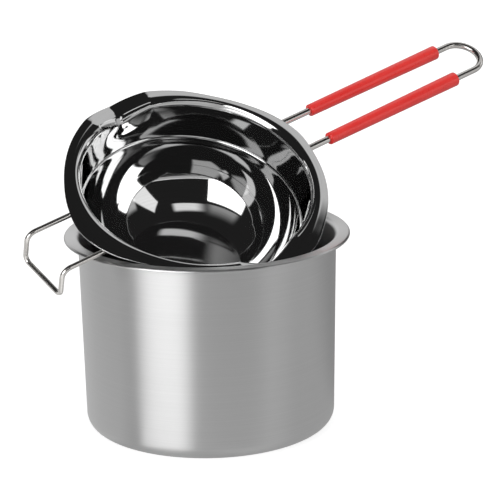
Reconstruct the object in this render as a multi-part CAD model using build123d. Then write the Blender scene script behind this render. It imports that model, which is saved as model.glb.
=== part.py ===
import os
from math import acos, cos, degrees, hypot, radians, sin, sqrt, tan

from build123d import *

# Driving dimensions, in millimetres and degrees.

# Outer pot: its sheet, its outside, how much its wall tapers, and its flanged rim
pot_sheet = 0.8
pot_height = 107.5
pot_top_radius = 70.0
pot_taper = 1.8
pot_corner_radius = 7.6
pot_rim_width = 7.5
pot_rim_bend = 2.4
pot_edge_bend = 0.7
pot_edge_length = 0.4

# Melting bowl: its sheet, its mouth, its stepped wall from the top down, and its floor
bowl_sheet = 0.7
bowl_lip_radius = 63.4
bowl_lip_bend = 4.5
bowl_ledge_depth = 23.0
bowl_upper_taper = 2.45
bowl_ledge_width = 1.9
bowl_ledge_drop = 1.4
bowl_ledge_bend = 1.2
bowl_depth = 63.5
bowl_floor_radius = 32.0
bowl_floor_bend = 2.0

# The bowl's round belly: how far off upright it starts under the ledge, how steeply it meets the floor,
# and the straight run left above its one large bend
belly_start_slope = 7.5
belly_end_slope = 28.0
belly_run = 2.2

# Width of the bowl's flange at equal steps round from the handle, a rounded square with four soft corners,
# the waste trimmed off outside its widest place, and how finely the trimmed edge follows the widths
flange_widths = [9.0, 7.9, 6.4, 6.3, 8.5, 10.4, 11.1, 10.3, 8.6, 7.6, 8.1, 10.6]
flange_widths += [13.6, 12.2, 8.2, 7.9, 8.6, 10.6, 12.6, 13.5, 10.1, 8.3, 7.5, 7.6]
flange_step = 360 / len(flange_widths)
flange_waste = 1.0
flange_curve_steps = 3

# Pouring spouts: pressed troughs a quarter turn each way from the handle, in sheet thinned by stretching
spout_turn = 91.5
spout_half_angle = 17.0
spout_edge_dip = 3.3
spout_lip_dip = 6.2
spout_lip_reach = 1.0
spout_root_depth = 15.0
spout_thinning = 0.1
spout_side_overlap = 1.15
spout_root_overlap = 2.0
spout_quarter_steps = 4

# Long handle: one wire bent into a U, with a tapered tube pushed on each leg
handle_wire = 3.8
handle_spacing = 23.8
handle_reach = 212.5
grip_near = 6.9
grip_far = 8.3
grip_length = 97.5
grip_edge = 0.5
grip_clearance = 0.05
upper_grip_start = 91.5
lower_grip_start = 85.5

# Hook: a thinner wire, half a turn round the bowl from the handle
hook_turn = 180.0
hook_wire = 2.7
hook_spacing = 31.0
hook_reach = 100.3
hook_drop = 18.0
hook_bend = 5.0

# Welds under the flange, and the gap that the filler bridges
weld_gap = 0.05
weld_length = 3.2
weld_width = 1.5
weld_taper = 1.1

# How the bowl leans in the pot: its place across the pot, its lean and the handle's direction
lean_across = -4.9
lean_along = -3.15
lean_forward = 29.4
lean_sideways = 8.5
handle_direction = 42.1
seat_clearance = 0.3

# Sampling of the bowl's outside, for finding how low it sits
seat_angle_step = 1
seat_section_steps = 160
seat_wire_step = 1.0

# Radii that follow from the driving dimensions
pot_base_radius = pot_top_radius - pot_taper
pot_rim_radius = pot_top_radius + pot_rim_width
bowl_blank_radius = bowl_lip_radius + max(flange_widths) + flange_waste
bowl_ledge_radius = bowl_lip_radius - bowl_upper_taper
bowl_foot_radius = bowl_ledge_radius - bowl_ledge_width

# How round bars and tubes are placed: by the middle of their first end
from_end = (Align.CENTER, Align.CENTER, Align.MIN)


def mitred(points, offset):
    """Corners of a polyline moved sideways by an offset, to the left of its direction."""
    spots = [Vector(*p) for p in points]
    runs = [(b - a).normalized() for a, b in zip(spots, spots[1:])]
    sides = [Vector(-run.Y, run.X) for run in runs]
    moved = [spots[0] + sides[0] * offset]
    for spot, before, after in zip(spots[1:], sides, sides[1:]):
        middle = before + after
        moved.append(spot + middle * (2 * offset / middle.length**2))
    moved.append(spots[-1] + sides[-1] * offset)
    return moved


def turns_left(points):
    """For each corner of a polyline, +1 where it turns left and -1 where it turns right."""
    spots = [Vector(*p) for p in points]
    crosses = [(b - a).cross(c - b).Z for a, b, c in zip(spots, spots[1:], spots[2:])]
    return [1 if cross > 0 else -1 for cross in crosses]


def sheet_side(points, bends, offset):
    """One side of a bent sheet, as a line with its bends, seen from the sheet's middle line."""
    radii = [bend - turn * offset for bend, turn in zip(bends, turns_left(points))]
    return FilletPolyline(*mitred(points, offset), radius=radii)


def sheet_section(points, bends, sheet):
    """Section of a bent sheet about its middle line, with a round free edge at the last point."""
    left = sheet_side(points, bends, sheet / 2)
    right = sheet_side(points, bends, -sheet / 2)
    end = Vector(*points[-1])
    outward = (end - Vector(*points[-2])).normalized()
    edge = ThreePointArc(left @ 1, end + outward * (sheet / 2), right @ 1)
    start = Line(right @ 0, left @ 0)
    return make_face([*left.edges(), *edge.edges(), *right.edges(), *start.edges()])


def pot_line():
    """Middle line of the pot's sheet, from the axis out to the rim's edge."""
    half = pot_sheet / 2
    return [
        (0, half),
        (pot_base_radius - half, half),
        (pot_top_radius - half, pot_height - half),
        (pot_rim_radius - half, pot_height - half),
        (pot_rim_radius - half, pot_height - half - pot_edge_bend - pot_edge_length),
    ]


def outer_pot():
    bends = [pot_corner_radius - pot_sheet / 2, pot_rim_bend, pot_edge_bend]
    section = Plane.XZ * sheet_section(pot_line(), bends, pot_sheet)
    return revolve(section, Axis.Z)


def belly_corner(floor, foot):
    """Where the belly's run up from the floor's edge would meet its run down from the ledge's foot."""
    rise = tan(radians(belly_end_slope))
    lean = tan(radians(belly_start_slope))
    out = (foot[0] - floor[0] - lean * (foot[1] - floor[1])) / (1 - lean * rise)
    return floor[0] + out, floor[1] + rise * out


def bowl_line():
    """Middle line of the bowl's sheet, from the axis out to the flange's edge."""
    half = bowl_sheet / 2
    floor = bowl_floor_radius, -bowl_depth - half
    foot = bowl_foot_radius + half, -bowl_ledge_depth - bowl_ledge_drop
    return [
        (0, -bowl_depth - half),
        floor,
        belly_corner(floor, foot),
        foot,
        (bowl_ledge_radius + half, -bowl_ledge_depth),
        (bowl_lip_radius + half, -half),
        (bowl_blank_radius, -half),
    ]


def belly_bend():
    """The belly's large bend, which takes up the shorter of its two runs but for a short straight."""
    floor, corner, foot = bowl_line()[1:4]
    shorter = min(hypot(corner[0] - end[0], corner[1] - end[1]) for end in (floor, foot))
    turn = 90 - belly_start_slope - belly_end_slope
    return (shorter - belly_run) / tan(radians(turn / 2))


def bowl_bends():
    return [bowl_floor_bend, belly_bend(), bowl_ledge_bend, bowl_ledge_bend, bowl_lip_bend]


def bowl_outside():
    """The line of the bowl's outside, from the axis to the flange's edge."""
    return sheet_side(bowl_line(), bowl_bends(), -bowl_sheet / 2)


def bowl_envelope():
    """The space that the bowl fills, up to the underside of its flange."""
    outside = bowl_outside()
    top = Vector(0, -bowl_sheet)
    walls = Polyline(outside @ 1, top, outside @ 0)
    return revolve(Plane.XZ * make_face([*outside.edges(), *walls.edges()]), Axis.Z)


def flange_width(angle):
    """Width of the flange at an angle from the handle, on a smooth curve through the measured widths."""
    index = int(angle // flange_step)
    share = angle / flange_step - index
    count = len(flange_widths)
    before, here, there, after = [flange_widths[(index + k) % count] for k in range(-1, 3)]
    bulge = share * (1 - share) / 2
    straight = here + (there - here) * share
    return straight + bulge * ((1 - share) * (2 * here - before - there) + share * (2 * there - here - after))


def trimmed_blank():
    """The space inside the flange's trimmed edge, from under the bowl to over it."""
    edge = []
    for step in range(flange_curve_steps * len(flange_widths)):
        angle = step * flange_step / flange_curve_steps
        edge.append(Vector(bowl_lip_radius + flange_width(angle), 0).rotate(Axis.Z, angle))
    outline = make_face(Spline(*edge, periodic=True))
    return extrude(outline, 2 * bowl_depth, both=True)


def spout_share(turn):
    """How much of the spout's dip a place has, where turn is 0 at its middle and 1 at its shoulder."""
    return (1 - turn**2) ** 2 if abs(turn) < 1 else 0


def wall_radius(depth):
    """Radius of the middle of the bowl's upper wall at a depth under the flange's middle."""
    half = bowl_sheet / 2
    slope = (bowl_lip_radius - bowl_ledge_radius) / (bowl_ledge_depth - half)
    return bowl_lip_radius + half - slope * depth


def spout_section(turn):
    """Section of the spout's sheet along a radius: wall, lip and flange, dipped by its share."""
    share = spout_share(turn)
    half = bowl_sheet / 2
    root = spout_root_depth + spout_root_overlap
    line = [
        (wall_radius(root - half), -root),
        (bowl_lip_radius + half + spout_lip_reach * share, -half - spout_lip_dip * share),
        (bowl_blank_radius, -half - spout_edge_dip * share),
    ]
    section = sheet_section(line, [bowl_lip_bend], bowl_sheet - spout_thinning)
    return Plane.XZ.rotated((0, 0, turn * spout_half_angle)) * section


def spout():
    """One spout, on the +X side, reaching a little into the wall and flange beside it."""
    steps = range(-spout_quarter_steps, spout_quarter_steps + 1)
    turns = [step / spout_quarter_steps for step in steps]
    turns = [-spout_side_overlap, *turns, spout_side_overlap]
    return loft([spout_section(turn) for turn in turns])


def spout_wedge():
    """The sector of wall and flange that a spout on the +X side takes the place of."""
    reach = 2 * bowl_blank_radius
    side = reach * sin(radians(spout_half_angle))
    corners = Polyline((0, 0), (reach, -side), (reach, side), close=True)
    return Pos(0, 0, -spout_root_depth) * extrude(make_face(corners), 2 * spout_root_depth)


def melting_bowl():
    section = Plane.XZ * sheet_section(bowl_line(), bowl_bends(), bowl_sheet)
    bowl = revolve(section, Axis.Z)
    sides = [Rot(0, 0, spout_turn), Rot(0, 0, -spout_turn)]
    for side in sides:
        bowl -= side * spout_wedge()
    for side in sides:
        bowl += side * spout()
    return bowl & trimmed_blank()


def wire_height(wire):
    """Height of a wire that lies under the flange."""
    return -bowl_sheet - weld_gap - wire / 2


def handle_path():
    side = handle_spacing / 2
    bend = handle_reach - handle_wire / 2 - side
    far = Line((0, side), (bend, side))
    loop = ThreePointArc(far @ 1, (bend + side, 0), (bend, -side))
    near = Line(loop @ 1, (0, -side))
    return Pos(0, 0, wire_height(handle_wire)) * (far + loop + near)


def hook_path():
    """The hook's line on the +X side: out, down, across, up and back."""
    side = hook_spacing / 2
    low = wire_height(hook_wire) - hook_drop
    high = wire_height(hook_wire)
    corners = [(0, side, high), (hook_reach, side, high), (hook_reach, side, low)]
    corners += [(x, -y, z) for x, y, z in reversed(corners)]
    return FilletPolyline(*corners, radius=hook_bend)


def bent_wire(path, wire):
    start = Plane(path @ 0, z_dir=path % 0)
    return sweep(start * Circle(wire / 2), path.wire())


def handle_frame_wire():
    return bent_wire(handle_path(), handle_wire) - bowl_envelope()


def hook_frame_wire():
    return Rot(0, 0, hook_turn) * bent_wire(hook_path(), hook_wire) - bowl_envelope()


def weld_bead(wire, across):
    """A bead round a wire's end on the +X side, that far across, before the wire is taken out."""
    wall = sqrt((bowl_lip_radius + bowl_sheet) ** 2 - across**2)
    foot = wire / 2 + weld_width
    base = wall - weld_length
    bead = Cone(foot, foot - weld_taper, 2 * weld_length, align=from_end)
    bead = Pos(base, across, wire_height(wire)) * Rot(0, 90, 0) * bead
    return split(bead, Plane.XY.offset(-bowl_sheet), keep=Keep.BOTTOM)


def weld_pair(wire, spacing, wire_solid, turn):
    beads = Part() + [turn * weld_bead(wire, across) for across in (spacing / 2, -spacing / 2)]
    return beads - bowl_envelope() - wire_solid


def grip_sleeve(start, across):
    bore = handle_wire / 2 + grip_clearance
    tube = Cone(grip_near / 2, grip_far / 2, grip_length, align=from_end)
    tube -= Cylinder(bore, grip_length, align=from_end)
    rims = tube.edges().filter_by(GeomType.CIRCLE).sort_by(SortBy.RADIUS)[-2:]
    tube = fillet(rims, grip_edge)
    return Pos(start, across, wire_height(handle_wire)) * Rot(0, 90, 0) * tube


def pot_top_at(radius):
    """Height of the pot's own surface as met from above, at a distance from its axis."""
    inner_top = pot_top_radius - pot_sheet
    inner_base = pot_base_radius - pot_sheet
    bend = pot_rim_bend + pot_sheet / 2
    if radius > pot_rim_radius or radius < inner_base:
        return 0
    if radius < inner_top:
        return pot_height * (radius - inner_base) / (inner_top - inner_base) - bend
    if radius < inner_top + bend:
        return pot_height - bend + sqrt(bend**2 - (inner_top + bend - radius) ** 2)
    return pot_height


def bowl_samples():
    """Places on the outside of the bowl and along its wires, each with the radius about it."""
    outside = bowl_outside()
    section = [outside @ (step / seat_section_steps) for step in range(seat_section_steps + 1)]
    for angle in range(0, 360, seat_angle_step):
        turn = radians(angle)
        off_spout = abs(min(angle, 360 - angle) - spout_turn)
        share = spout_share(off_spout / spout_half_angle)
        edge = bowl_lip_radius + flange_width(angle)
        for spot in section:
            reach = min(spot.X, edge)
            dip = spout_edge_dip * share if reach > bowl_lip_radius + bowl_lip_bend else 0
            yield Vector(reach * cos(turn), reach * sin(turn), spot.Y - dip), 0
    hook = Rot(0, 0, hook_turn) * hook_path()
    weld_end = bowl_lip_radius + bowl_sheet + weld_length
    for path, wire in ((handle_path(), handle_wire), (hook, hook_wire)):
        for step in range(int(path.length / seat_wire_step) + 1):
            spot = path @ (step * seat_wire_step / path.length)
            reach = hypot(spot.X, spot.Y)
            if reach > bowl_lip_radius:
                yield spot, wire / 2 + (weld_width if reach < weld_end else 0)


def bowl_place():
    """The leaning bowl's place, lowered straight down until it all but touches the pot."""
    lean = Rot(0, lean_sideways, 0) * Rot(lean_forward, 0, 0) * Rot(0, 0, handle_direction)
    axes = (1, 0, 0), (0, 1, 0), (0, 0, 1)
    forward, sideways, upward = [(lean * Pos(axis)).position for axis in axes]
    height = 0
    for spot, about in bowl_samples():
        point = forward * spot.X + sideways * spot.Y + upward * spot.Z
        radius = hypot(point.X + lean_across, point.Y + lean_along)
        room = about + seat_clearance
        below = max(pot_top_at(radius + room), pot_top_at(radius - room))
        height = max(height, below + room - point.Z)
    return Pos(lean_across, lean_along, height) * lean


def main():
    os.makedirs("parts", exist_ok=True)
    place = bowl_place()
    handle = handle_frame_wire()
    hook = hook_frame_wire()
    opposite = Rot(0, 0, hook_turn)
    bowl_pieces = {
        "melting_bowl": melting_bowl(),
        "handle_wire": handle,
        "upper_grip_sleeve": grip_sleeve(upper_grip_start, handle_spacing / 2),
        "lower_grip_sleeve": grip_sleeve(lower_grip_start, -handle_spacing / 2),
        "hook_wire": hook,
        "handle_welds": weld_pair(handle_wire, handle_spacing, handle, Rot(0, 0, 0)),
        "hook_welds": weld_pair(hook_wire, hook_spacing, hook, opposite),
    }
    pieces = {"outer_pot": outer_pot()}
    pieces.update({name: place * piece for name, piece in bowl_pieces.items()})
    lean = degrees(acos((place * Pos(0, 0, 1)).position.Z - place.position.Z))
    print(f"bowl stands at {place.position.Z:.2f} mm, leaning {lean:.1f} degrees")
    for name, piece in pieces.items():
        print(f"{name}: {len(piece.solids())} solids, {piece.volume:.1f} mm3, valid {piece.is_valid}")
        export_step(piece, f"parts/{name}.step")


main()
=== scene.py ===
# %% [markdown]
# A double boiler pot has two vessels. The lower one is a plain steel pot for hot water, and the upper one
# is a small polished bowl with a long wire handle, in which chocolate or wax is melted.
# The CAD model gives the sizes and the places. This lesson dresses it: every sheet, wire and sleeve is
# modelled again with smooth, fine meshes, because polished steel shows each flat facet in its reflections.

# %% Load the frame
import math

import bpy
from mathutils import Matrix, Vector


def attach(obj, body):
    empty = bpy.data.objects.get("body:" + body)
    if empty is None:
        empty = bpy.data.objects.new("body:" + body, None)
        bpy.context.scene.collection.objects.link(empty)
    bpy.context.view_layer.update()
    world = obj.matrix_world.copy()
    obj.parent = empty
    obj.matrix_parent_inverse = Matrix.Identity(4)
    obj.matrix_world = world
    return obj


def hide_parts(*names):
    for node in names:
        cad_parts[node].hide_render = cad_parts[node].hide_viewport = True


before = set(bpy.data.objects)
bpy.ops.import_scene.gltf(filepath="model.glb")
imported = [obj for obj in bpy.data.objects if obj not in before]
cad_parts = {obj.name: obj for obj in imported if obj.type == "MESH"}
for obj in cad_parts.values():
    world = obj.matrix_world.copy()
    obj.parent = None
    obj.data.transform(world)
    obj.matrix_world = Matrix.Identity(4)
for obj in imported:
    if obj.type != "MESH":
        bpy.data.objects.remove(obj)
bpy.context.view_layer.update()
mm = 0.001

# %% [markdown]
# The camera comes first, so that each later step can be compared with the photograph.
# The outlines in the photograph fit a camera a little over a metre away, with a long lens that looks down by
# about 16 degrees. A long lens keeps the two sides of the pot almost parallel.

# %% Camera
camera_place = Vector((0, -1133.67, 412.45)) * mm
camera_pan = math.radians(1.17)
camera_tilt = math.radians(15.58)
camera_roll = math.radians(0.94)
picture_width = 500
focal_length = 2165.4
sensor_width = 36
far_end = 50

aim = Matrix.Rotation(-camera_pan, 4, "Z") @ Matrix.Rotation(math.pi / 2 - camera_tilt, 4, "X")
aim = aim @ Matrix.Rotation(-camera_roll, 4, "Z")
bpy.ops.object.camera_add(location=camera_place, rotation=aim.to_euler())
camera = bpy.context.object
camera.name = "photo_camera"
camera.data.sensor_width = sensor_width
camera.data.lens = focal_length / picture_width * sensor_width
camera.data.clip_end = far_end
bpy.context.scene.camera = camera
print("lens in mm:", round(camera.data.lens, 1))

# %% [markdown]
# Sheet metal parts such as a pot start as a flat line: the section from the middle of the base to the rim.
# Each corner of the line is replaced by the arc of the real sheet's bend. The line is then extruded from
# vertex to vertex and spun about the middle, as a potter's template makes a round form.
# True arcs matter here. A bevelled corner that is only nearly round would bend every reflection in
# polished steel.

# %% Drawing and spinning a section
longest_step = 2.5 * mm
weld_gap = 0.002 * mm


def section(*corners):
    """Corners of a section, given in millimetres as distance from the axis and height."""
    return [Vector((x * mm, 0, z * mm)) for x, z in corners]


def bent(corners, bends, steps):
    """A line whose inner corners become arcs, with a bend in millimetres and a step count for each."""
    line = [corners[0]]
    for before, corner, after, bend, count in zip(corners, corners[1:], corners[2:], bends, steps):
        back = (before - corner).normalized()
        ahead = (after - corner).normalized()
        half = back.angle(ahead) / 2
        middle = corner + (back + ahead).normalized() * (bend * mm / math.sin(half))
        start = corner + back * (bend * mm / math.tan(half)) - middle
        axis = start.cross(corner - middle)
        turn = math.pi - 2 * half
        line += [middle + Matrix.Rotation(turn * k / count, 3, axis) @ start for k in range(count + 1)]
    return line + [corners[-1]]


def divided(line):
    """The same line with extra points on its straight runs, so that shading stays even along them."""
    fine = [line[0]]
    for here, there in zip(line, line[1:]):
        count = max(1, math.ceil((there - here).length / longest_step))
        fine += [here.lerp(there, k / count) for k in range(1, count + 1)]
    return fine


def draw_line(name, line):
    """A line of vertices, from one vertex that is extruded from point to point. Stays in edit mode."""
    bpy.ops.object.select_all(action="DESELECT")
    bpy.ops.mesh.primitive_plane_add(size=mm)
    piece = bpy.context.object
    piece.name = name
    bpy.ops.object.mode_set(mode="EDIT")
    bpy.ops.mesh.select_mode(type="VERT")
    bpy.ops.mesh.select_all(action="SELECT")
    bpy.ops.mesh.merge(type="CENTER")
    bpy.ops.transform.translate(value=line[0])
    for here, there in zip(line, line[1:]):
        bpy.ops.mesh.extrude_vertices_move(TRANSFORM_OT_translate={"value": there - here})
    return piece


def spin_line(piece, around, axis):
    """Spins the drawn line a full turn, welds its seam and turns all faces one way. Ends in object mode."""
    bpy.ops.mesh.select_all(action="SELECT")
    bpy.ops.mesh.spin(steps=around, angle=2 * math.pi, center=(0, 0, 0), axis=axis)
    bpy.ops.mesh.select_all(action="SELECT")
    bpy.ops.mesh.remove_doubles(threshold=weld_gap)
    bpy.ops.mesh.normals_make_consistent(inside=False)
    bpy.ops.object.mode_set(mode="OBJECT")
    return piece


# %% [markdown]
# Sheet has a thickness, and a free edge that the press leaves slightly rounded. A Solidify modifier gives the
# first, half to each side of the drawn line, and a Bevel modifier the second. Both are applied at once,
# so the finished piece is a plain mesh.

# %% Giving a sheet its thickness
edge_share = 0.3
edge_angle = math.radians(60)


def make_active(piece):
    """Selects one piece alone, so that an operator works on it."""
    bpy.ops.object.select_all(action="DESELECT")
    piece.select_set(True)
    bpy.context.view_layer.objects.active = piece


def thicken(piece, sheet):
    """Gives a sheet its thickness, half to each side, and rounds its free edge."""
    make_active(piece)
    wall = piece.modifiers.new("sheet", "SOLIDIFY")
    wall.thickness = sheet
    wall.offset = 0
    wall.use_even_offset = True
    bpy.ops.object.modifier_apply(modifier=wall.name)
    edge = piece.modifiers.new("free edge", "BEVEL")
    edge.limit_method = "ANGLE"
    edge.angle_limit = edge_angle
    edge.width = edge_share * sheet
    edge.segments = 3
    bpy.ops.object.modifier_apply(modifier=edge.name)
    bpy.ops.object.shade_smooth()


# %% [markdown]
# The pot is deep-drawn from one sheet: flat base, rounded corner, a wall that opens by less than a degree,
# and a rim that is turned out flat with its edge turned down. Its section follows the sheet's middle.

# %% Pot
pot_sheet = 0.8 * mm
pot_steps_round = 288
pot_corners = section((0, 0.4), (67.8, 0.4), (69.6, 107.1), (77.07, 107.1), (77.07, 106.0))
pot_line = bent(pot_corners, [7.2, 2.4, 0.7], [16, 10, 6])
pot = spin_line(draw_line("pot_shell", divided(pot_line)), pot_steps_round, (0, 0, 1))
thicken(pot, pot_sheet)
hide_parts("outer_pot")
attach(pot, "pot")
print("pot faces:", len(pot.data.polygons))

# %% [markdown]
# The bowl leans in the pot, so it is modelled upright in a frame of its own and leaned at the end.
# Its own frame has the flange's top at height 0, the handle along +X and a spout at each side along Y.
# The lean goes into the mesh, so each finished object still sits unturned at the origin.

# %% How the bowl leans
sideways_lean = math.radians(8.5)
forward_lean = math.radians(29.4)
handle_turn = math.radians(42.1)
lean_turn = Matrix.Rotation(sideways_lean, 4, "Y") @ Matrix.Rotation(forward_lean, 4, "X")
lean_turn = lean_turn @ Matrix.Rotation(handle_turn, 4, "Z")
lean_place = Vector((-4.9, -3.15, 137.47)) * mm
lean = Matrix.Translation(lean_place) @ lean_turn


def set_in_pot(piece, replaced):
    """Leans a bowl piece into its place, in the place of a CAD node, and lets it move with the bowl."""
    make_active(piece)
    piece.matrix_world = lean
    bpy.ops.object.transform_apply(location=True, rotation=True, scale=True)
    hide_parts(replaced)
    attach(piece, "bowl")


# %% [markdown]
# The bowl is spun like the pot, with a finer section because it is polished like a mirror.
# From the middle out its section has a flat floor, a round belly in one large bend, a narrow ledge, a steep
# upper wall, and a lip that turns out in a wide, soft bend. The flange outside it falls off a little, so
# one half of it mirrors something dark and the other something grey.

# %% Bowl, still round
bowl_sheet = 0.7 * mm
bowl_steps_round = 400
flange_reach = 77.4
bowl_corners = section(
    (0, -63.85),
    (32.0, -63.85),
    (55.89, -51.15),
    (59.85, -24.3),
    (60.6, -23.75),
    (62.8, 0.25),
    (70.5, 0.25),
    (flange_reach, -0.75),
)
bowl_line = bent(bowl_corners, [0.8, 47.9, 0.9, 0.7, 4.5, 22.0], [4, 44, 7, 6, 16, 6])
bowl = spin_line(draw_line("bowl_shell", divided(bowl_line)), bowl_steps_round, (0, 0, 1))
print("round bowl faces:", len(bowl.data.polygons))

# %% [markdown]
# The flange isn't trimmed to a circle: seen from above it is a rounded square, with a soft corner at the
# handle, at each spout and at the hook. Its width was read off the photograph every 15 degrees, and chosen
# at the spouts and where the flange is hidden.
# The two spouts are pressed into the flange and the top of the wall. The lip sinks more than the edge does,
# so the trough slopes back into the bowl, and a drop runs back after pouring. Its two sides are nearly flat
# and meet the flange at a crisp shoulder, which a formula keeps sharper than a brush would.

# %% Trimmed flange and pressed spouts
flange_widths = [9.0, 7.9, 6.4, 6.3, 8.5, 10.4, 11.1, 10.3, 8.6, 7.6, 8.1, 10.6]
flange_widths += [13.6, 12.2, 8.2, 7.9, 8.6, 10.6, 12.6, 13.5, 10.1, 8.3, 7.5, 7.6]
width_step = 15
lip_radius = 63.4 * mm
blank_width = flange_reach * mm - lip_radius
spout_turn = math.radians(91.5)
spout_half_angle = math.radians(14.7)
spout_shoulder = 0.12
spout_root = -19 * mm
lip_dip = 6.3 * mm
edge_dip = 3.3 * mm
lip_reach = 1.2 * mm


def flange_width(angle):
    """Width of the flange at an angle from the handle, on a smooth curve through the measured widths."""
    place = math.degrees(angle) % 360 / width_step
    index = int(place)
    share = place - index
    before, here, there, after = [flange_widths[(index + k) % len(flange_widths)] for k in range(-1, 3)]
    straight = here + (there - here) * share
    bend = (1 - share) * (2 * here - before - there) + share * (2 * there - here - after)
    return mm * (straight + share * (1 - share) / 2 * bend)


def trim_and_press(place):
    """Where a place on the round bowl goes when the flange is trimmed and the spouts are pressed."""
    radius = math.hypot(place.x, place.y)
    if place.z <= spout_root or radius == 0:
        return place
    angle = math.atan2(place.y, place.x)
    out = max(0, (radius - lip_radius) / blank_width)
    trimmed = radius if out == 0 else lip_radius + out * flange_width(angle)
    off = abs(abs(angle) - spout_turn) / spout_half_angle
    share = max(0, 1 + spout_shoulder - math.hypot(off, spout_shoulder))
    up = min(1, (place.z - spout_root) / -spout_root)
    up = up * up * (3 - 2 * up)
    dip = lip_dip + (edge_dip - lip_dip) * out
    wider = (trimmed + lip_reach * (1 - out) * share * up) / radius
    return Vector((place.x * wider, place.y * wider, place.z - dip * share * up))


for vertex in bowl.data.vertices:
    vertex.co = trim_and_press(vertex.co)
thicken(bowl, bowl_sheet)
set_in_pot(bowl, "melting_bowl")
print("bowl faces:", len(bowl.data.polygons))

# %% [markdown]
# Handle and hook are round wire, bent cold round a pin. Blender can do just that: a ring of vertices is
# extruded along each straight leg, and spun about the pin's middle at each bend, so the wire keeps its round
# section. Each wire starts on the bowl's wall, where it is welded. Its first and last ring follow the curve
# of the wall under the lip, so that the wire touches the sheet all round and doesn't come through it.

# %% Bending wire
sides_of_wire = 40
crease = math.radians(50)
lip_middle = Vector((67.1, 0, -4.25)) * mm
lip_underside = 4.3 * mm
highest_share = 0.9
touching = 0.01 * mm


def on_wall(place):
    """The place moved along X onto the underside of the lip's bend, or onto the wall below it."""
    height = max(0, place.z - lip_middle.z)
    radius = lip_middle.x - math.sqrt(lip_underside**2 - min(height, highest_share * lip_underside) ** 2)
    along = math.sqrt(radius**2 - place.y**2)
    return Vector((math.copysign(along, place.x), place.y, place.z))


def start_ring(name, wire, start):
    """A ring of wire that faces along X, at the start of its path. Stays in edit mode."""
    bpy.ops.object.select_all(action="DESELECT")
    facing = (0, math.pi / 2, 0)
    bpy.ops.mesh.primitive_circle_add(vertices=sides_of_wire, radius=wire / 2, rotation=facing)
    piece = bpy.context.object
    piece.name = name
    bpy.ops.object.transform_apply(location=True, rotation=True, scale=True)
    bpy.ops.object.mode_set(mode="EDIT")
    bpy.ops.mesh.select_all(action="SELECT")
    bpy.ops.transform.translate(value=start)
    return piece


def run_wire(way, count):
    """Extrudes the ring along a straight leg, in a number of steps."""
    for _ in range(count):
        bpy.ops.mesh.extrude_edges_move(TRANSFORM_OT_translate={"value": way / count})


def bend_wire(middle, axis, degrees, count):
    """Spins the ring round a bending pin."""
    bpy.ops.mesh.spin(steps=count, angle=math.radians(degrees), center=middle, axis=axis)


def end_wire(piece):
    """Welds the rings together, sets both ends on the wall, and closes them."""
    bpy.ops.mesh.select_all(action="SELECT")
    bpy.ops.mesh.remove_doubles(threshold=weld_gap)
    bpy.ops.object.mode_set(mode="OBJECT")
    nearest = min(abs(vertex.co.x) for vertex in piece.data.vertices)
    for vertex in piece.data.vertices:
        if abs(vertex.co.x) < nearest + touching:
            vertex.co = on_wall(vertex.co)
    bpy.ops.object.mode_set(mode="EDIT")
    bpy.ops.mesh.select_all(action="DESELECT")
    bpy.ops.mesh.select_mode(type="EDGE")
    bpy.ops.mesh.select_non_manifold()
    bpy.ops.mesh.edge_face_add()
    bpy.ops.mesh.select_all(action="SELECT")
    bpy.ops.mesh.normals_make_consistent(inside=False)
    bpy.ops.object.mode_set(mode="OBJECT")
    make_active(piece)
    bpy.ops.object.shade_smooth_by_angle(angle=crease)


# %% [markdown]
# The long handle is one wire of 3.8 mm: out along one leg, half a turn round the far end, and back.
# Its middle lies just under the flange.

# %% Handle wire
handle_wire = 3.8 * mm
handle_height = -2.65 * mm
handle_side = 11.9 * mm
handle_start = 66 * mm
handle_bend = 198.69 * mm

handle = start_ring("handle_rod", handle_wire, Vector((handle_start, handle_side, handle_height)))
run_wire(Vector((handle_bend - handle_start, 0, 0)), 30)
bend_wire((handle_bend, 0, handle_height), (0, 0, 1), 180, 40)
run_wire(Vector((handle_start - handle_bend, 0, 0)), 30)
end_wire(handle)
set_in_pot(handle, "handle_wire")
print("handle faces:", len(handle.data.polygons))

# %% [markdown]
# The hook on the other side is thinner wire, bent out, down and across. It can rest on a larger pot's rim.
# Its lower bends are a little tighter than its upper ones, as they are in the photograph.

# %% Hook wire
hook_wire = 2.7 * mm
hook_height = -2.1 * mm
hook_side = 15.5 * mm
hook_start = -65 * mm
hook_reach = -100.05 * mm
hook_low = hook_height - 18 * mm
upper_bend = 5 * mm
lower_bend = 3.6 * mm

hook = start_ring("hook_rod", hook_wire, Vector((hook_start, hook_side, hook_height)))
run_wire(Vector((hook_reach + upper_bend - hook_start, 0, 0)), 8)
bend_wire((hook_reach + upper_bend, hook_side, hook_height - upper_bend), (0, 1, 0), 90, 16)
run_wire(Vector((0, 0, hook_low + lower_bend - hook_height + upper_bend)), 4)
bend_wire((hook_reach, hook_side - lower_bend, hook_low + lower_bend), (1, 0, 0), 90, 14)
run_wire(Vector((0, 2 * (lower_bend - hook_side), 0)), 8)
bend_wire((hook_reach, lower_bend - hook_side, hook_low + lower_bend), (1, 0, 0), 90, 14)
run_wire(Vector((0, 0, hook_height - upper_bend - hook_low - lower_bend)), 4)
bend_wire((hook_reach + upper_bend, -hook_side, hook_height - upper_bend), (0, 1, 0), -90, 16)
run_wire(Vector((hook_start - hook_reach - upper_bend, 0, 0)), 8)
end_wire(hook)
set_in_pot(hook, "hook_wire")
print("hook faces:", len(hook.data.polygons))

# %% [markdown]
# Each wire end is welded to the wall under the flange. A bead of weld metal is a low cone round the wire,
# with the ripples of the metal that froze in small steps. It is spun from a wavy section about the wire, then
# cut flat by bisecting it just inside the flange's sheet, and its foot is set on the wall as the wire's end
# was. The photograph doesn't show these welds, so their shape is a usual one.

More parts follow.
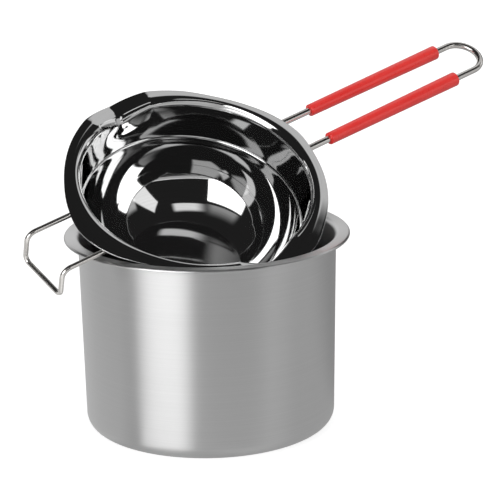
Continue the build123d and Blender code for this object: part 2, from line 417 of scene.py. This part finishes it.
# %% Weld beads
bead_length = 3.6 * mm
bead_steps = 18
bead_foot = 1.5 * mm
bead_top = 0.25 * mm
bead_hollow = 0.7
into_wire = 0.1 * mm
ripple_depth = 0.1 * mm
half_ripples = 9
inside_flange = -0.5 * mm
handle_bead_start = 63.6 * mm
hook_bead_start = -63.2 * mm


def weld_bead(name, wire, start):
    """A bead round a wire that leaves the wall along X. Ends in object mode."""
    foot = wire / 2 + bead_foot
    top = wire / 2 + bead_top
    line = []
    for k in range(bead_steps + 1):
        share = k / bead_steps
        ripple = ripple_depth * math.sin(share * math.pi * half_ripples) * (1 - share)
        line.append(Vector((bead_length * share, 0, foot + (top - foot) * share**bead_hollow + ripple)))
    line.append(Vector((bead_length, 0, wire / 2 - into_wire)))
    bead = spin_line(draw_line(name, line), sides_of_wire, (1, 0, 0))
    for vertex in bead.data.vertices:
        at_foot = vertex.co.x < touching
        away = math.copysign(1, start.x)
        vertex.co = Vector((start.x + away * vertex.co.x, start.y + vertex.co.y, start.z + vertex.co.z))
        if at_foot:
            vertex.co = on_wall(vertex.co)
    make_active(bead)
    bpy.ops.object.mode_set(mode="EDIT")
    bpy.ops.mesh.select_all(action="SELECT")
    bpy.ops.mesh.bisect(plane_co=(0, 0, inside_flange), plane_no=(0, 0, 1), clear_outer=True)
    bpy.ops.mesh.select_all(action="SELECT")
    bpy.ops.mesh.normals_make_consistent(inside=False)
    bpy.ops.object.mode_set(mode="OBJECT")
    bpy.ops.object.shade_smooth()
    return bead


def weld_pair(name, wire, start, side, height, replaced):
    """Both beads of one wire, joined into one piece."""
    beads = [weld_bead(name, wire, Vector((start, y, height))) for y in (side, -side)]
    make_active(beads[0])
    beads[1].select_set(True)
    bpy.ops.object.join()
    beads[0].name = name
    set_in_pot(beads[0], replaced)
    return beads[0]


handle_beads = weld_pair(
    "handle_beads", handle_wire, handle_bead_start, handle_side, handle_height, "handle_welds"
)
hook_beads = weld_pair("hook_beads", hook_wire, hook_bead_start, hook_side, hook_height, "hook_welds")
print("bead faces:", len(handle_beads.data.polygons) + len(hook_beads.data.polygons))

# %% [markdown]
# The two grip sleeves are tubes on the legs of the wire. They grow thicker towards the far end, and their
# ends are cut square. A closed section with its bore is spun about X. In the photograph the sleeves don't
# start at the same place, so neither do these.

# %% Grip sleeves
sleeve_length = 97.5
sleeve_bore = 1.95
near_radius = 3.45
far_radius = 4.15
end_bends = [0.35, 0.3]
end_steps = [5, 5]
sides_of_sleeve = 64
upper_start = 91.5
lower_start = 85.5


def grip_sleeve(name, start, across, replaced):
    """A tapered tube on one leg of the handle."""
    near = [(0, sleeve_bore), (0, near_radius)]
    far = [(sleeve_length, far_radius), (sleeve_length, sleeve_bore)]
    corners = section(*near, *far)
    line = bent(corners, end_bends, end_steps)
    line = divided(line + [corners[0]])
    piece = spin_line(draw_line(name, line), sides_of_sleeve, (1, 0, 0))
    for vertex in piece.data.vertices:
        vertex.co += Vector((start * mm, across, handle_height))
    make_active(piece)
    bpy.ops.object.shade_smooth_by_angle(angle=crease)
    set_in_pot(piece, replaced)
    return piece


upper_grip = grip_sleeve("upper_grip", upper_start, handle_side, "upper_grip_sleeve")
lower_grip = grip_sleeve("lower_grip", lower_start, -handle_side, "lower_grip_sleeve")
print("sleeve faces:", len(upper_grip.data.polygons))

# %% [markdown]
# Materials are built from nodes, and three small helpers keep that short. The first turns a hex colour into
# the linear values that Blender works with, the next adds a node with its values and links, and the third
# starts a material.

# %% Material helpers


def linear(hex_colour):
    """A hex sRGB colour as linear red, green, blue and alpha."""
    parts = [int(hex_colour[i : i + 2], 16) / 255 for i in (1, 3, 5)]
    return [part / 12.92 if part <= 0.04045 else ((part + 0.055) / 1.055) ** 2.4 for part in parts] + [1]


def node(tree, kind, links=(), values=(), **settings):
    """Adds a node with its settings, its input values and its links from other sockets."""
    made = tree.nodes.new(kind)
    for name, value in settings.items():
        setattr(made, name, value)
    for key, value in dict(values).items():
        made.inputs[key].default_value = value
    for key, socket in dict(links).items():
        tree.links.new(socket, made.inputs[key])
    return made


def new_material(name, values):
    """A material with its Principled shader, and uniform values set on the shader's sockets."""
    made = bpy.data.materials.new(name)
    made.use_nodes = True
    shader = made.node_tree.nodes["Principled BSDF"]
    for key, value in values.items():
        shader.inputs[key].default_value = value
    return made, made.node_tree, shader


# %% [markdown]
# Patterns use Object coordinates, so they stay on the metal. For the bowl's pieces a Mapping node takes the
# lean back, so that a pattern can run round the bowl or along the handle. A pattern is noise, stretched the
# way the real marks run, and the last helper lets patterns lead a finish: its colour, roughness and height.
# Noise mostly lies near its middle, so only that part of its range is used.

# %% Patterns
noise_low = 0.3
noise_high = 0.7


def bowl_place(tree):
    """Object coordinates in the upright bowl's own frame, in metres."""
    place = node(tree, "ShaderNodeTexCoord")
    upright = node(tree, "ShaderNodeMapping", {"Vector": place.outputs["Object"]}, vector_type="TEXTURE")
    upright.inputs["Location"].default_value = lean_place
    upright.inputs["Rotation"].default_value = lean_turn.to_euler()
    return upright.outputs["Vector"]


def stretched_noise(tree, place, stretch, detail=2.0):
    """Noise whose grains per metre differ along X, Y and Z."""
    grid = node(tree, "ShaderNodeVectorMath", {0: place}, {1: stretch}, operation="MULTIPLY")
    noise = node(tree, "ShaderNodeTexNoise", {"Vector": grid.outputs[0]}, {"Scale": 1.0, "Detail": detail})
    return noise.outputs["Fac"]


def round_place(tree, place):
    """Coordinates for marks that run round Z: they change with height and with distance from the axis."""
    x, y, z = node(tree, "ShaderNodeSeparateXYZ", {0: place}).outputs
    flat = node(tree, "ShaderNodeCombineXYZ", {0: x, 1: y})
    out = node(tree, "ShaderNodeVectorMath", {0: flat.outputs[0]}, operation="LENGTH")
    rise = node(tree, "ShaderNodeMath", {0: z, 1: out.outputs["Value"]}, operation="ADD")
    return node(tree, "ShaderNodeCombineXYZ", {0: x, 1: y, 2: rise.outputs[0]}).outputs[0]


def dress(tree, shader, colour, roughness, height):
    """Lets patterns lead the colour and the roughness between two values each, and the height by a depth."""
    pattern, dark, light = colour
    ramp = node(tree, "ShaderNodeValToRGB", {"Fac": pattern})
    for element, share, shade in zip(ramp.color_ramp.elements, (noise_low, noise_high), (dark, light)):
        element.position = share
        element.color = linear(shade)
    tree.links.new(ramp.outputs["Color"], shader.inputs["Base Color"])
    pattern, smooth, rough = roughness
    span = {"From Min": noise_low, "From Max": noise_high, "To Min": smooth, "To Max": rough}
    spread = node(tree, "ShaderNodeMapRange", {"Value": pattern}, span)
    tree.links.new(spread.outputs["Result"], shader.inputs["Roughness"])
    pattern, depth = height
    raised = node(tree, "ShaderNodeBump", {"Height": pattern}, {"Strength": 1.0, "Distance": depth})
    tree.links.new(raised.outputs["Normal"], shader.inputs["Normal"])


# %% [markdown]
# The pot is brushed: fine grit drags hair lines round the wall. Across the lines the steel scatters light
# widely, along them hardly at all, so a lamp shows as one soft upright band. Anisotropy turned along the
# lines gives that. The real lines are about a tenth of a millimetre wide. Here they are drawn at about half
# a millimetre, because finer ones wouldn't show at this size.

# %% Satin steel
satin, tree, shader = new_material(
    "stainless steel, satin brushed",
    {"Metallic": 1.0, "Anisotropic": 0.8, "Anisotropic Rotation": 0.25},
)
place = node(tree, "ShaderNodeTexCoord").outputs["Object"]
hairlines = stretched_noise(tree, round_place(tree, place), (9, 9, 1900), 3.0)
# Each hair line is a little lighter or darker than the next, which gives a brushed wall its grain.
colour = (hairlines, "#CFCFCF", "#D3D3D3")
dress(tree, shader, colour, roughness=(hairlines, 0.335, 0.365), height=(hairlines, 0.001 * mm))
tangent = node(tree, "ShaderNodeTangent", direction_type="RADIAL", axis="Z")
tree.links.new(tangent.outputs["Tangent"], shader.inputs["Tangent"])
pot.data.materials.append(satin)
print(satin.name, "nodes:", len(tree.nodes))

# %% [markdown]
# The bowl is polished on a wheel while it turns, until it mirrors the room. What is left are hair-fine rings
# round its axis, and a very slight waviness from the press that makes the edges of each reflection swim.
# The rings change the roughness and a trace of the colour, and the waviness is about a hundredth of a
# millimetre over a centimetre.

# %% Mirror steel
mirror, tree, shader = new_material("stainless steel, mirror polished", {"Metallic": 1.0})
place = bowl_place(tree)
rings = stretched_noise(tree, round_place(tree, place), (12, 12, 1400))
waves = stretched_noise(tree, place, (75, 75, 75), 1.0)
# Polishing rings catch a trace of light and keep the dark parts from looking like glass.
colour = (rings, "#D1D1D1", "#D7D7D7")
dress(tree, shader, colour, roughness=(rings, 0.035, 0.05), height=(waves, 0.012 * mm))
bowl.data.materials.append(mirror)
print(mirror.name, "nodes:", len(tree.nodes))

# %% [markdown]
# Wire is pulled through a die, which draws fine lines along it and leaves it bright. The grain is stretched
# along the handle. The bent far end follows it closely enough, since the lines are too fine to count.

# %% Bright wire
bright, tree, shader = new_material("stainless steel wire, bright drawn", {"Metallic": 1.0})
drawn = stretched_noise(tree, bowl_place(tree), (25, 1100, 1100))
# Drawn lines streak the highlight lengthwise. The colour is lighter and warmer than this steel usually is, to
# match the photograph.
colour = (drawn, "#E2DFDB", "#E8E5E2")
dress(tree, shader, colour, roughness=(drawn, 0.2, 0.24), height=(drawn, 0.0003 * mm))
handle.data.materials.append(bright)
hook.data.materials.append(bright)
print(bright.name, "nodes:", len(tree.nodes))

# %% [markdown]
# Weld metal isn't polished. It is duller than the wire, and the heat leaves straw and blue-grey oxide tints
# on it in patches of a millimetre or so.

# %% Weld metal
welded, tree, shader = new_material("stainless steel, as welded", {"Metallic": 1.0})
patches = stretched_noise(tree, bowl_place(tree), (700, 700, 700), 3.0)
# The tint changes along the bead, because each spot cooled at its own speed.
colour = (patches, "#8C8272", "#9EA1A6")
dress(tree, shader, colour, roughness=(patches, 0.34, 0.52), height=(patches, 0.02 * mm))
handle_beads.data.materials.append(welded)
hook_beads.data.materials.append(welded)
print(welded.name, "nodes:", len(tree.nodes))

# %% [markdown]
# The sleeves are red rubber from a mould. The mould's fine blasted skin gives a semi-gloss surface: one soft
# highlight along the tube, and a colour that is never quite even.

# %% Red rubber
red, tree, shader = new_material(
    "rubber, moulded red",
    {"Specular IOR Level": 0.5, "Coat Weight": 0.4, "Coat Roughness": 0.12},
)
place = bowl_place(tree)
skin = stretched_noise(tree, place, (1500, 1500, 1500), 2.0)
cloud = stretched_noise(tree, place, (60, 160, 160), 2.0)
# The blasted skin breaks up the highlight, and the slow clouds are the pigment's uneven mixing.
colour = (cloud, "#EC302B", "#F23A35")
dress(tree, shader, colour, roughness=(skin, 0.26, 0.36), height=(skin, 0.012 * mm))
upper_grip.data.materials.append(red)
lower_grip.data.materials.append(red)
print(red.name, "nodes:", len(tree.nodes))

# %% [markdown]
# Polished steel has no look of its own: it shows what stands round it. So the studio is built as a room of
# cloths round the pot, each given by the bearings and height angles of its four corners as seen from the pot.
# Bearing 0 is the camera's side, and bearings count to the right. Each cloth is a grid that is bent onto a
# sphere and glows, with soft edges where the real one has them. The camera doesn't see the cloths.
# The softbox is brighter than white, because its image is still white after several mirrorings.

# %% Studio cloths
studio_middle = Vector((0, 0, 0.12))
studio_radius = 2.0
cloth_steps = 24


def bearing_point(bearing, elevation):
    """A place on the studio's wall: its bearing right of the camera's side, and its height angle."""
    turn = math.radians(bearing)
    rise = math.radians(elevation)
    level = math.cos(rise)
    out = Vector((math.sin(turn) * level, -math.cos(turn) * level, math.sin(rise)))
    return studio_middle + studio_radius * out


def glowing_material(name, values=()):
    """A material that only glows, with its tree and its Emission node."""
    made = bpy.data.materials.new(name)
    made.use_nodes = True
    tree = made.node_tree
    tree.nodes.clear()
    glow = node(tree, "ShaderNodeEmission", values=values)
    return made, tree, glow


def soft_cloth(name, place_at, strength, fades):
    """A cloth whose points a function places, with the shares of its edges that fade."""
    bpy.ops.object.select_all(action="DESELECT")
    bpy.ops.mesh.primitive_grid_add(x_subdivisions=cloth_steps, y_subdivisions=cloth_steps, size=1)
    cloth = bpy.context.object
    cloth.name = name
    for vertex in cloth.data.vertices:
        vertex.co = place_at(vertex.co.x + 0.5, vertex.co.y + 0.5)
    made, tree, glow = glowing_material(name)
    spread = node(tree, "ShaderNodeTexCoord").outputs["UV"]
    across, up, _ = node(tree, "ShaderNodeSeparateXYZ", {0: spread}).outputs
    left, right, low, high = fades
    edges = ((across, 0, left), (across, 1, 1 - right), (up, 0, low), (up, 1, 1 - high))
    level = node(tree, "ShaderNodeValue").outputs[0]
    level.default_value = strength
    for side, start, end in edges:
        span = {"From Min": start, "From Max": end}
        fade = node(tree, "ShaderNodeMapRange", {"Value": side}, span, interpolation_type="SMOOTHSTEP")
        faded = {0: level, 1: fade.outputs[0]}
        level = node(tree, "ShaderNodeMath", faded, operation="MULTIPLY").outputs[0]
    tree.links.new(level, glow.inputs["Strength"])
    clear = node(tree, "ShaderNodeBsdfTransparent")
    both = node(tree, "ShaderNodeAddShader", {0: glow.outputs[0], 1: clear.outputs[0]})
    node(tree, "ShaderNodeOutputMaterial", {"Surface": both.outputs[0]})
    cloth.data.materials.append(made)
    cloth.visible_camera = False
    return cloth


def corners_between(corners, across, up):
    """A point between four corners: low left, low right, high right and high left."""
    low_left, low_right, high_right, high_left = [Vector(corner) for corner in corners]
    return low_left.lerp(low_right, across).lerp(high_left.lerp(high_right, across), up)


def studio_card(name, corners, strength, fades):
    """A cloth on the studio's wall, with the bearing and the height angle of its corners."""

    def place_at(across, up):
        return bearing_point(*corners_between(corners, across, up))

    soft_cloth(name, place_at, strength, fades)


# Each row holds a name, four corners, a strength, and the fades left, right, low and high.
cards = [
    ("front_softbox", ((-62, -1), (-14.4, -3), (-12, 27.5), (-57, 35)), 3.6, (0.08, 0.04, 0.03, 0.08)),
    ("front_top_panel", ((-14, 31.5), (29, 30), (30, 43), (-14, 44)), 0.95, (0.4, 0.15, 0.06, 0.35)),
    ("softbox_spill", ((-57, 36), (-8, 30), (-4, 48), (-54, 52)), 0.36, (0.2, 0.3, 0.02, 0.97)),
    ("right_panel", ((41, 25), (54, -2), (76, 6), (50, 38)), 1.1, (0.05, 0.12, 0.05, 0.12)),
    ("right_low_panel", ((64, -2), (102, -2), (100, 28), (66, 27)), 0.55, (0.1, 0.1, 0.02, 0.25)),
    ("right_back_panel", ((100, 4), (130, 6), (130, 36), (104, 38)), 0.85, (0.12, 0.1, 0.05, 0.15)),
    ("back_panel", ((112, 30), (187, 30), (187, 72), (114, 62)), 0.64, (0.15, 0.14, 0.05, 0.08)),
    ("low_back_card", ((145, 2), (240, 2), (240, 28), (145, 28)), 0.8, (0.35, 0.3, 0.05, 0.2)),
]
for card in cards:
    studio_card(*card)
print("studio cards:", len(cards))

# %% [markdown]
# The table is a smooth white sheet, so it mirrors the softbox, and the pot's wall mirrors that patch as an
# upright band. A ray that leaves the round wall turns twice as far as the wall does, so the patch starts at
# the wall and spreads from there. Two fainter patches lift the wall's left and middle. Only reflections see
# the patches.

# %% Shine on the table
wall_radius = 0.07
patch_reach = 1.5
above_table = Vector((0, 0, 0.002))


def shine_edge(turn, reach):
    """A point of the table that the wall mirrors at a turn from its front, that far from the wall."""
    wall = math.radians(turn)
    start = Vector((math.sin(wall), -math.cos(wall), 0)) * wall_radius
    return start + Vector((math.sin(2 * wall), -math.cos(2 * wall), 0)) * reach + above_table


def table_patch(name, left, right, strength, fades):
    """A patch of light on the table, between two turns of the wall that mirrors it."""
    corners = [shine_edge(left, 0), shine_edge(right, 0)]
    corners += [shine_edge(right, patch_reach), shine_edge(left, patch_reach)]
    patch = soft_cloth(name, lambda across, up: corners_between(corners, across, up), strength, fades)
    patch.visible_diffuse = False


# Each row holds a name, the wall's turns left and right, a strength, and the fades left, right, near and far.
table_patches = [
    ("table_shine", -36, -7, 0.52, (0.16, 0.3, 0.01, 0.1)),
    ("table_glow", -86, -34, 0.16, (0.1, 0.3, 0.01, 0.1)),
    ("table_middle_glow", -8, 44, 0.11, (0.2, 0.5, 0.01, 0.1)),
]
for patch in table_patches:
    table_patch(*patch)
print("table patches:", len(table_patches))

# %% [markdown]
# Behind the cloths hangs a dark tent. It gives the bowl its deep, nearly black reflections, which are what
# makes polished steel look polished. The tent is seen in reflections only: it casts no shadow, and the soft
# light that falls on matt surfaces comes through it.

# %% Dark tent
tent_radius = 2.3
tent_hem = 0.02
tent_segments = 48
tent_rings = 24


def reflect_only(piece, colour):
    """Gives a stage piece one glowing colour that is seen in reflections only."""
    made, tree, glow = glowing_material(piece.name, values={"Color": linear(colour)})
    node(tree, "ShaderNodeOutputMaterial", {"Surface": glow.outputs[0]})
    piece.data.materials.append(made)
    piece.visible_camera = False
    piece.visible_diffuse = False
    piece.visible_shadow = False
    return tree, glow


bpy.ops.object.select_all(action="DESELECT")
bpy.ops.mesh.primitive_uv_sphere_add(
    segments=tent_segments, ring_count=tent_rings, radius=tent_radius, location=studio_middle
)
tent = bpy.context.object
tent.name = "dark_tent"
bpy.ops.object.mode_set(mode="EDIT")
bpy.ops.mesh.select_all(action="SELECT")
bpy.ops.mesh.bisect(plane_co=(0, 0, tent_hem), plane_no=(0, 0, 1), clear_inner=True)
bpy.ops.object.mode_set(mode="OBJECT")
reflect_only(tent, "#242424")
print("tent faces:", len(tent.data.polygons))

# %% [markdown]
# The pot's wall mirrors the table in front of it. In the photograph the wall is an even mid grey, so a grey
# card lies round the pot's foot, again for reflections only, and the table itself stays white for the camera.
# The card is in shade behind the pot on the right, which darkens the pot's right edge and makes it look
# round.

# %% Grey card
card_hole = 0.055
card_growth = 38
card_middle = (0, 0, 0.0005)
card_sides = 96
shade_side = (0.5, 0.866, 0)
shade_starts = 0.6
shade_full = 0.95
light_left = 0.72

bpy.ops.object.select_all(action="DESELECT")
bpy.ops.mesh.primitive_circle_add(
    vertices=card_sides, radius=card_hole, fill_type="NOTHING", location=card_middle
)
ring = bpy.context.object
ring.name = "grey_card"
bpy.ops.object.mode_set(mode="EDIT")
bpy.ops.mesh.select_all(action="SELECT")
bpy.ops.mesh.extrude_edges_move()
bpy.ops.transform.resize(value=(card_growth, card_growth, 1))
bpy.ops.object.mode_set(mode="OBJECT")
tree, glow = reflect_only(ring, "#BABABA")
place = node(tree, "ShaderNodeTexCoord").outputs["Object"]
outward = node(tree, "ShaderNodeVectorMath", {0: place}, operation="NORMALIZE")
facing = {0: outward.outputs[0]}
turned = node(tree, "ShaderNodeVectorMath", facing, {1: shade_side}, operation="DOT_PRODUCT")
fall = {"From Min": shade_starts, "From Max": shade_full, "To Min": 1.0, "To Max": light_left}
shade = node(tree, "ShaderNodeMapRange", {"Value": turned.outputs["Value"]}, fall)
tree.links.new(shade.outputs["Result"], glow.inputs["Strength"])
print("grey card radius in metres:", round(card_hole * card_growth, 2))

# %% [markdown]
# The floor is pale and matt, so that it takes a soft shadow. A part of its light is its own, for the camera
# and for reflections only, which brings it up to the photograph's white without brightening the object.

# %% Pale floor
floor_size = 16
floor_glow = 0.72


def seen_directly(tree):
    """1 for camera rays and for rays that come by way of a mirror or through glass, else 0."""
    path = node(tree, "ShaderNodeLightPath").outputs
    links = {0: path["Is Camera Ray"], 1: path["Is Glossy Ray"]}
    seen = node(tree, "ShaderNodeMath", links, operation="MAXIMUM")
    links = {0: seen.outputs[0], 1: path["Is Transmission Ray"]}
    return node(tree, "ShaderNodeMath", links, operation="MAXIMUM").outputs[0]


bpy.ops.object.select_all(action="DESELECT")
bpy.ops.mesh.primitive_plane_add(size=floor_size)
floor = bpy.context.object
floor.name = "pale_floor"
made, tree, glow = glowing_material("pale_floor")
level = node(tree, "ShaderNodeMath", {0: seen_directly(tree)}, {1: floor_glow}, operation="MULTIPLY")
tree.links.new(level.outputs[0], glow.inputs["Strength"])
matt = node(tree, "ShaderNodeBsdfDiffuse", values={"Color": linear("#C0C0C0")})
both = node(tree, "ShaderNodeAddShader", {0: glow.outputs[0], 1: matt.outputs[0]})
node(tree, "ShaderNodeOutputMaterial", {"Surface": both.outputs[0]})
floor.data.materials.append(made)
print("floor size in metres:", floor_size)

# %% [markdown]
# The world is white where it is seen directly, like the photograph's background, and dimmer as a light,
# so that matt colours render about as they were written.

# %% World
world_light = 0.57
world = bpy.data.worlds.new("studio")
bpy.context.scene.world = world
world.use_nodes = True
tree = world.node_tree
tree.nodes.clear()
span = {"To Min": world_light, "To Max": 1.0}
level = node(tree, "ShaderNodeMapRange", {"Value": seen_directly(tree)}, span)
sky = node(tree, "ShaderNodeBackground", {"Strength": level.outputs[0]}, {"Color": (1, 1, 1, 1)})
node(tree, "ShaderNodeOutputWorld", {"Surface": sky.outputs[0]})
bpy.context.scene.view_settings.view_transform = "Standard"
print("world strength as a light:", world_light)
